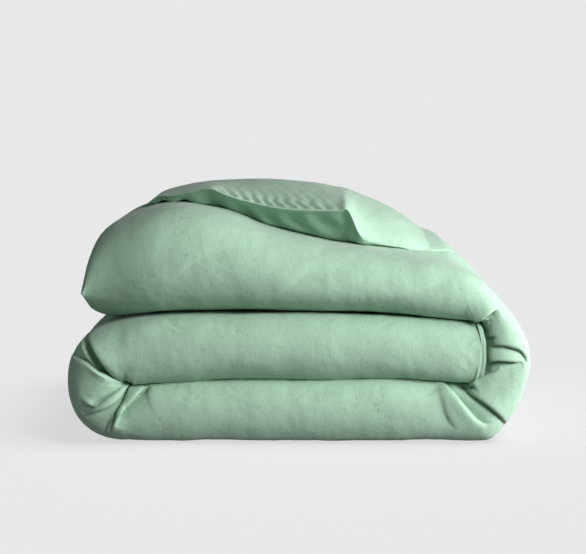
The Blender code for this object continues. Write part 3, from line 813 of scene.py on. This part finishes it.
def studio_world():
    """The sweep fills the view. As light, it is brightest low down and dimmer overhead."""
    world = bpy.data.worlds.new("studio")
    world.use_nodes = True
    tree = world.node_tree
    seen = tree.nodes["Background"]
    seen.inputs["Color"].default_value = colour("#e8e8e8")
    way = node(tree, "ShaderNodeTexCoord").outputs["Generated"]
    height = node(tree, "ShaderNodeSeparateXYZ", None, {0: way}).outputs["Z"]
    strength = node(tree, "ShaderNodeMapRange", None, {"Value": height},
                    {"From Min": -0.1, "From Max": 0.1, "To Min": 0.17, "To Max": 0.06})
    cast = node(tree, "ShaderNodeBackground", None, {"Strength": strength.outputs["Result"]},
                {"Color": colour("#ffffff")})
    path = node(tree, "ShaderNodeLightPath").outputs["Is Camera Ray"]
    both = node(tree, "ShaderNodeMixShader", None,
                {0: path, 1: cast.outputs[0], 2: seen.outputs[0]})
    tree.links.new(both.outputs[0], tree.nodes["World Output"].inputs["Surface"])
    bpy.context.scene.world = world


def studio_sweep():
    """The floor, a little below the stack, so that the cloth's folds don't dip into it."""
    form = bmesh.new()
    bmesh.ops.create_circle(form, cap_ends=True, segments=96, radius=30)
    floor = made("studio_floor", form)
    floor.data.materials.append(studio_floor())
    floor.location.z = LOW.z - 0.0005
    floor.visible_diffuse = False
    floor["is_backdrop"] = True
    return floor


def lamp(name, place, size, power, tone):
    """A square soft lamp that looks at the stack's middle."""
    light = bpy.data.lights.new(name, "AREA")
    light.size, light.energy, light.color = size, power, tone
    thing = linked(name, light)
    thing.location = place
    thing.rotation_euler = (STACK_MIDDLE - Vector(place)).to_track_quat("-Z", "Y").to_euler()
    return thing


def stage():
    """The lamps light the stack and not the floor, which a soft overhead light shades instead."""
    floor = studio_sweep()
    bpy.context.scene.view_settings.view_transform = "Standard"
    studio_world()
    unlit = bpy.data.collections.new("unlit_by_lamps")
    unlit.objects.link(floor)
    unlit.collection_objects[0].light_linking.link_state = "EXCLUDE"
    for values in LAMPS:
        lamp(*values).light_linking.receiver_collection = unlit
    floor_only = bpy.data.collections.new("floor_only")
    floor_only.objects.link(floor)
    light = bpy.data.lights.new("overhead", "SUN")
    light.energy, light.angle = 2.0, math.radians(35)
    overhead = linked("overhead", light)
    overhead.rotation_euler = Vector((0.45, -0.05, 0.9)).to_track_quat("Z", "Y").to_euler()
    overhead.light_linking.receiver_collection = floor_only


def camera():
    """A long lens in front of the stack, a little above it and looking slightly down."""
    lens = bpy.data.cameras.new("camera")
    lens.lens, lens.sensor_width = LENS, 36
    lens.clip_end = 100
    thing = linked("camera", lens)
    thing.location = EYE
    thing.rotation_euler = (math.pi / 2 - ELEVATION, 0, 0)
    bpy.context.scene.camera = thing


# ---------------------------------------------------------------- making it

# No point moves more than LOFT_CAP as a piece is swelled. SPARE_CLOTH is the share of spare cloth
# that its free parts have to gather.
LOFT_CAP, SPARE_CLOTH = 0.007, 0.03

# A stitch's pitch, half its length, and the thread's radius.
STITCH_PITCH, STITCH_HALF, THREAD_RADIUS = 0.0042, 0.00135, 0.0004

# A buttonhole's half length and half width.
HOLE_LENGTH, HOLE_WIDTH = 0.0095, 0.0022


def finish_cloth(piece, free):
    """Swells the piece where it is free, refines it, and gathers and crinkles its cloth."""
    swell(piece, free, LOFT_CAP, SPARE_CLOTH)
    refine(piece)
    co, out = places(piece.data), facing(piece.data)
    crease_folds(co, out, run_of(piece.data))
    crinkle(co, out, [(0.090, 0.0022, 0.6), (0.028, 0.0008, 0.7), (0.011, 0.0003, 0.6)])
    move(piece.data, co)


def stitches(name, path, out, body):
    """A row of lockstitches along path: one small thread for each, half sunk in the cloth."""
    steps = np.linalg.norm(np.diff(path, axis=0), axis=1)
    run = np.concatenate([[0], np.cumsum(steps)])
    at = np.arange(0.002, run[-1] - 0.002, STITCH_PITCH)
    middles, ahead, ups = (np.stack([np.interp(where, run, column) for column in values.T], axis=1)
                           for where, values in ((at, path), (at + 0.0008, path), (at, out)))
    form = bmesh.new()
    for place, way, up in zip(middles, ahead - middles, ups):
        way, up = Vector(way).normalized(), Vector(up).normalized()
        side = way.cross(up)
        thread = bmesh.ops.create_uvsphere(form, u_segments=6, v_segments=5, radius=1)["verts"]
        for vertex in thread:
            x, y, z = vertex.co
            vertex.co = (Vector(place) + way * z * STITCH_HALF + side * x * THREAD_RADIUS
                         + up * (y + 0.5) * THREAD_RADIUS)
    bmesh.ops.recalc_face_normals(form, faces=form.faces)
    piece = made(name, form)
    piece.data.materials.append(bpy.data.materials["linen_thread"])
    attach(piece, body)


def stitch_hem(mesh, groove):
    """Round the mouth, in the groove behind its hem."""
    co, out = places(mesh), facing(mesh)
    row = np.flatnonzero(np.abs(run_of(mesh) - groove) < 2e-5)
    row = row[co[row, 0] > MOUTH_X - 0.03]
    spot = co[row] - co[row].mean(axis=0)
    depth_per_height = 5
    row = row[np.argsort(np.arctan2(spot[:, 2] * depth_per_height, spot[:, 1]))]
    row = np.append(row, row[0])
    stitches("hem_stitches", co[row], out[row], "base")


def stitch_side_seam(flap):
    """Along the flap's front edge, in the groove behind its lip."""
    x = np.arange(-0.236, 0.082, 0.002)
    path, out = [], []
    for at, edge in zip(x, through(FLAP_KNOTS, x)[:, 0]):
        hit, place, way, _ = flap.ray_cast(Vector((at, edge + SEAM_LIP, 0.6)), Vector((0, 0, -1)))
        if hit:
            path.append(place[:])
            out.append(way[:])
    stitches("seam_stitches", np.array(path), np.array(out), "top_flap")


def part_off(piece, name, cut):
    """Parts the cloth where its run passes cut: what comes before is a piece of its own."""
    before = linked(name, piece.data.copy())
    before.data.name = name
    for half, first in ((before, True), (piece, False)):
        form = bmesh.new()
        form.from_mesh(half.data)
        run = form.verts.layers.float["run"]
        rest = [face for face in form.faces
                if (sum(vertex[run] for vertex in face.verts) / len(face.verts) < cut) != first]
        bmesh.ops.delete(form, geom=rest, context="FACES")
        form.to_mesh(half.data)
        form.free()
        shut(half.data)
    return before


def row_run(mesh, row):
    """How far along the strip the cloth's given row lies."""
    return np.unique(run_of(mesh).round(6))[row]


def lower_pieces():
    """The middle and the lower piece, made as one cloth and parted where it comes to the bottom."""
    rows = np.vstack([mouth_rows(), evenly(lower_path(), ROW)])
    piece = wrapped("duvet_lower", rows, lower_shape, lambda co: settle(bow_mouth(co)))
    co = places(piece.data)
    groove = row_run(piece.data, GROOVE_ROW)
    turned = row_run(piece.data, int(np.argmax(rows[:, 1] < 0.005)))
    free = (ramp(co[:, 1], FRONT + 0.10, FRONT + 0.03) + ramp(co[:, 1], BACK - 0.10, BACK - 0.03)
            + ramp(co[:, 0], LEFT_AXIS_X, LOW.x + 0.02)).clip(0, 1)
    free *= ramp(co[:, 0], WIDEST.x - 0.001, WIDEST.x - 0.05) * ramp(co[:, 2], 0.002, 0.014)
    free *= 1 - ramp(co[:, 0], MOUTH_X - 0.03, MOUTH_X - 0.012) * (co[:, 2] > BOTTOM_TOP - 0.006)
    finish_cloth(piece, free)
    stitch_hem(piece.data, groove)
    return part_off(piece, "duvet_middle", turned), piece


def upper_piece():
    """The rest of the right fold and the top third, up to its head seam."""
    piece = wrapped("duvet_upper", evenly(upper_path(), ROW), upper_shape,
                    lambda co: hump(settle(bow_mouth(co))))
    co = places(piece.data)
    free = (ramp(co[:, 1], FRONT + 0.14, FRONT + 0.06) + ramp(co[:, 1], BACK - 0.12, BACK - 0.05)
            + ramp(co[:, 0], 0.25, 0.31)).clip(0, 1)
    free *= ramp(co[:, 2], TOP_LOW.z + 0.004, TOP_LOW.z + 0.03)
    free *= ramp(co[:, 2], WIDEST.z, WIDEST.z + 0.04)
    finish_cloth(piece, free)
    shut(piece.data)
    return piece


def flap_piece():
    """The flap that lies on top, with its side seam."""
    piece = cloth("duvet_flap", flap_points(), FLAP_ALONG, FLAP_OVER + FLAP_UNDER)
    refine(piece)
    co, out = places(piece.data), facing(piece.data)
    sew_side_seam(co, out)
    crinkle(co, out, [(0.070, 0.0018, 0.8), (0.025, 0.0007, 0.8), (0.010, 0.0002, 0.8)])
    move(piece.data, co)
    shut(piece.data)
    bpy.context.view_layer.update()
    stitch_side_seam(piece)
    return piece


def placket(name, part, holes):
    """A strip of doubled linen that shuts the mouth, its sewn edges raised, with its buttonholes."""
    low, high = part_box(part)
    form = bmesh.new()
    layer = form.loops.layers.uv.new("cloth")
    across, tall = 250, 40
    bmesh.ops.create_grid(form, x_segments=across, y_segments=tall, size=0.5)
    for face in form.faces:
        for loop in face.loops:
            loop[layer].uv = (loop.vert.co.y * (high.z - low.z), loop.vert.co.x * (high.y - low.y))
    for vertex in form.verts:
        along, up = vertex.co.x, vertex.co.y
        z = (low.z + high.z) / 2 + up * (high.z - low.z)
        off = 2 * abs(z - (MIDDLE_LOW.z + MIDDLE_HIGH.z) / 2) / (MIDDLE_HIGH.z - MIDDLE_LOW.z)
        trim = 0.012 * min(off, 1) ** 4
        y = (low.y + high.y) / 2 + along * (high.y - low.y - 2 * trim)
        hem = math.exp(-((0.5 - abs(up)) * (high.z - low.z) / 0.006) ** 2)
        sag = 0.0006 * noise.noise(Vector((0, y * 22, z * 30)))
        x = high.x + 0.0004 * hem + sag
        for place in holes:
            ring = math.hypot((y - place.y) / HOLE_LENGTH, (z - place.z) / HOLE_WIDTH)
            x += 0.0007 * math.exp(-((ring - 1) / 0.35) ** 2) - 0.0009 * math.exp(-(ring / 0.7) ** 2)
        vertex.co = (x, y, z)
    bmesh.ops.recalc_face_normals(form, faces=form.faces)
    if sum(face.normal.x for face in form.faces) < 0:
        bmesh.ops.reverse_faces(form, faces=form.faces)
    bmesh.ops.solidify(form, geom=form.faces, thickness=0.0012)
    piece = made(name, form)
    move(piece.data, settle(bow_mouth(places(piece.data))))
    piece.data.materials.append(bpy.data.materials["washed_linen"])
    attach(piece, "base")
    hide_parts(part)
    return piece


def kept(name, material):
    """A CAD node that stays as it is, with its own material."""
    thing = frame["nodes"][name]
    if thing.material_slots:
        thing.material_slots[0].material = material
    else:
        thing.data.materials.append(material)


camera()
stage()
linen, shell, tape = washed_linen(), shell_button(), cotton_tape()
linen_thread()
button_names = [f"button_{count}" for count in range(1, 6)]
button_places = [(Vector(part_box(name)[0]) + Vector(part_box(name)[1])) / 2 for name in button_names]
placket("placket_buttonholes", "buttonhole_strip", button_places)
placket("placket_buttons", "button_strip", [])
for name in button_names:
    kept(name, shell)
for name in ("tie_mouth_front", "tie_mouth_back"):
    kept(name, tape)
(middle, lower), upper, top = lower_pieces(), upper_piece(), flap_piece()
for piece, parts in ((middle, ("left_fold", "middle_third")), (lower, ("bottom_third",)),
                     (upper, ("right_fold", "top_third")), (top, ("flap",))):
    piece.data.materials.append(linen)
    for part in parts:
        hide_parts(f"cover_{part}", f"ticking_{part}")
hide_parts("fill_left_fold", "fill_middle_left", "fill_middle_right", "mouth_hem",
            "chamber_wall_low_left", "chamber_wall_high_left", "chamber_wall_middle")
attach(middle, "base")
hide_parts("fill_bottom_left", "fill_bottom_right", "chamber_wall_bottom")
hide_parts("fill_right_fold", "fill_top_right", "fill_top_left", "chamber_wall_top",
            "head_seam", "tie_head")
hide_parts("fill_flap", "side_seam")
corner = Vector((MOUTH_X + 0.0025, 0, BOTTOM_TOP))
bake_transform(lower, "base", "right_fold", start=corner, end=corner + Vector((0.0303, 0, 0.0103)))
corner = Vector((MOUTH_X + 0.0025, 0, TOP_LOW.z))
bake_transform(upper, "right_fold", "top_third", start=corner, end=corner + Vector((-0.0564, 0, 0.01525)))
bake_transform(top, "top_third", "top_flap", start=(0, BACK - 0.010, 0.29), end=(0, BACK - 0.14, 0.37))
